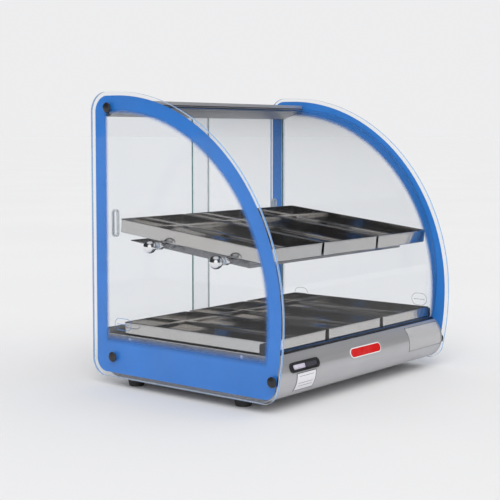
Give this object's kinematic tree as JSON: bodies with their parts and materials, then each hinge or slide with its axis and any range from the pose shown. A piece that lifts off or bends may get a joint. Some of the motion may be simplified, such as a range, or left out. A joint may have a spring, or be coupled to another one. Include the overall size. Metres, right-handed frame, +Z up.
{
  "type": "hot food display case",
  "caption": "Counter-top heated food display case with flat side glasses, a curved front glass, sliding rear doors and two levels of lift-out steel pans.",
  "frame": {"origin": "on the counter, at the middle of the case's footprint", "axes": "+X to the right seen from the customer's side, +Y towards the sliding doors at the back, +Z up"},
  "size_m": [0.503, 0.38, 0.46],
  "materials": {
    "glass": "clear polished",
    "border_print": "enamel print behind glass, soft inner edge",
    "black_plastic": "fine moulded texture",
    "rubber": "matt",
    "clear_plastic": "clear moulding",
    "satin_steel": "satin",
    "deck_steel": "satin",
    "zinc_steel": "bright zinc",
    "shelf_steel": "satin",
    "pan_steel": "polished",
    "chrome": "mirror",
    "heater_tube": "heat-dulled",
    "insulation": "mineral felt",
    "brass": "satin",
    "dial_white": "printed",
    "switch_red": "gloss",
    "lamp_amber": "translucent lens",
    "wire_red": "silicone sleeve",
    "display": "display window",
    "label_white": "blank label",
    "label_clear": "blank satin film",
    "badge_red": "enamel"
  },
  "bodies": {
    "case": {"side_glass_left": "glass", "side_glass_right": "glass", "border_print_left": "border_print", "border_print_right": "border_print", "panel_cap_screws": "black_plastic", "panel_screw_washers": "rubber", "roof_panel": "satin_steel", "roof_end_brackets": "satin_steel", "top_door_track": "black_plastic", "bottom_door_track": "satin_steel", "front_glass": "glass", "front_glass_sill": "rubber", "front_glass_head_seal": "rubber", "front_glass_clips": "rubber", "base_shell": "satin_steel", "base_end_left": "shelf_steel", "base_end_right": "shelf_steel", "deck_plate": "deck_steel", "deck_screws": "zinc_steel", "base_side_studs": "chrome", "service_cover": "satin_steel", "service_cover_screws": "zinc_steel", "rubber_feet": "rubber", "foot_screws": "zinc_steel", "heating_element": "heater_tube", "element_clamps": "satin_steel", "insulation_mat": "insulation", "thermostat_body": "satin_steel", "thermostat_bulb": "brass", "thermostat_dial": "dial_white", "switch_housing": "black_plastic", "pilot_light": "lamp_amber", "terminal_block": "dial_white", "internal_wiring": "wire_red", "cable_gland": "black_plastic", "thermometer_bezel": "black_plastic", "thermometer_window": "display", "rating_label": "label_white", "caution_label": "label_clear", "front_badge": "badge_red", "shelf_plate": "shelf_steel", "shelf_cross_rail": "shelf_steel", "shelf_studs": "zinc_steel", "shelf_ball_knobs": "chrome", "shelf_inner_nuts": "chrome", "shelf_washers": "clear_plastic"},
    "door_left": {"door_glass_left": "glass", "door_pull_left": "clear_plastic"},
    "door_right": {"door_glass_right": "glass", "door_pull_right": "clear_plastic"},
    "knob": {"thermostat_knob": "black_plastic"},
    "rocker": {"switch_rocker": "switch_red"},
    "upper_pan_left_body": {"upper_pan_left": "pan_steel"},
    "upper_pan_centre_body": {"upper_pan_centre": "pan_steel"},
    "upper_pan_right_body": {"upper_pan_right": "pan_steel"},
    "lower_pan_left_body": {"lower_pan_left": "pan_steel"},
    "lower_pan_centre_body": {"lower_pan_centre": "pan_steel"},
    "lower_pan_right_body": {"lower_pan_right": "pan_steel"}
  },
  "joints": [
    {"name": "door_left_slide", "type": "slide", "parent": "case", "child": "door_left", "axis": [1, 0, 0], "range_m": [0, 0.2]},
    {"name": "door_right_slide", "type": "slide", "parent": "case", "child": "door_right", "axis": [-1, 0, 0], "range_m": [0, 0.2]},
    {"name": "thermostat_turn", "type": "hinge", "parent": "case", "child": "knob", "pos_m": [-0.12, 0.1736, 0.066], "axis": [0, -1, 0], "range_deg": [0, 270]},
    {"name": "power_switch_rock", "type": "hinge", "parent": "case", "child": "rocker", "pos_m": [-0.06, 0.1695, 0.066], "axis": [0, 0, 1], "range_deg": [0, 16]},
    {"name": "upper_pan_left_lift", "type": "slide", "parent": "case", "child": "upper_pan_left_body", "axis": [0, 0.5, 0.866], "range_m": [0, 0.025]},
    {"name": "upper_pan_centre_lift", "type": "slide", "parent": "case", "child": "upper_pan_centre_body", "axis": [0, 0.5, 0.866], "range_m": [0, 0.025]},
    {"name": "upper_pan_right_lift", "type": "slide", "parent": "case", "child": "upper_pan_right_body", "axis": [0, 0.5, 0.866], "range_m": [0, 0.025]},
    {"name": "lower_pan_left_lift", "type": "slide", "parent": "case", "child": "lower_pan_left_body", "axis": [0, 0, 1], "range_m": [0, 0.06]},
    {"name": "lower_pan_centre_lift", "type": "slide", "parent": "case", "child": "lower_pan_centre_body", "axis": [0, 0, 1], "range_m": [0, 0.06]},
    {"name": "lower_pan_right_lift", "type": "slide", "parent": "case", "child": "lower_pan_right_body", "axis": [0, 0, 1], "range_m": [0, 0.06]}
  ]
}
